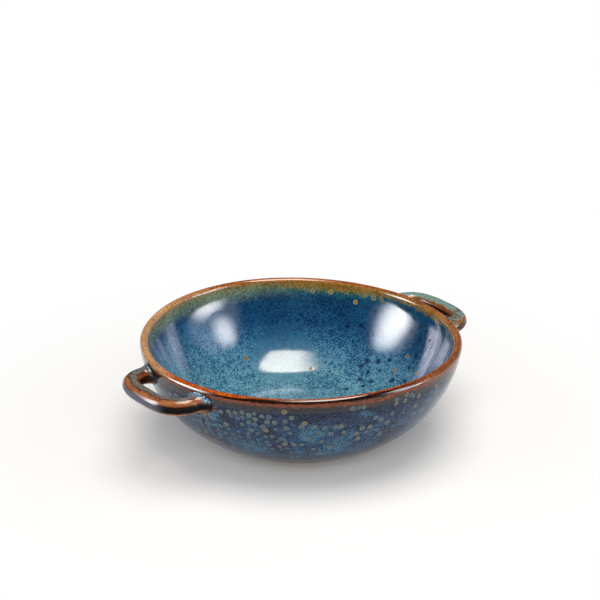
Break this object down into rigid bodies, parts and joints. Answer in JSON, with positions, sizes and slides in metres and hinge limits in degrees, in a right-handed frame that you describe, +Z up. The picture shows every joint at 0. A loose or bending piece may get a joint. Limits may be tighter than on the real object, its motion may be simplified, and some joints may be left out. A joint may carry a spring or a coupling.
{
  "type": "balti dish",
  "caption": "Shallow round glazed stoneware balti dish with a loop handle on each side and a foot ring, for cooking and serving at the table.",
  "frame": {"origin": "on the table, under the middle of the bowl", "axes": "+Z up, +X through the middles of both handles"},
  "size_m": [0.2198, 0.18, 0.059],
  "materials": {
    "bare_clay": "matt bare stoneware",
    "slip": "matt fired slip",
    "inside_glaze": "glossy blue reactive glaze",
    "outside_glaze": "glossy slate blue reactive glaze with spots",
    "rim_glaze": "glossy iron brown glaze",
    "handle_glaze": "glossy iron brown glaze with blue-green streaks"
  },
  "bodies": {
    "root": {"bowl_body": "bare_clay", "inside_glaze": "inside_glaze", "outside_glaze": "outside_glaze", "rim_glaze": "rim_glaze", "base_glaze": "outside_glaze", "handle_right": "bare_clay", "handle_right_glaze": "handle_glaze", "handle_right_slip_front": "slip", "handle_right_slip_back": "slip", "handle_left": "bare_clay", "handle_left_glaze": "handle_glaze", "handle_left_slip_front": "slip", "handle_left_slip_back": "slip"}
  },
  "joints": []
}
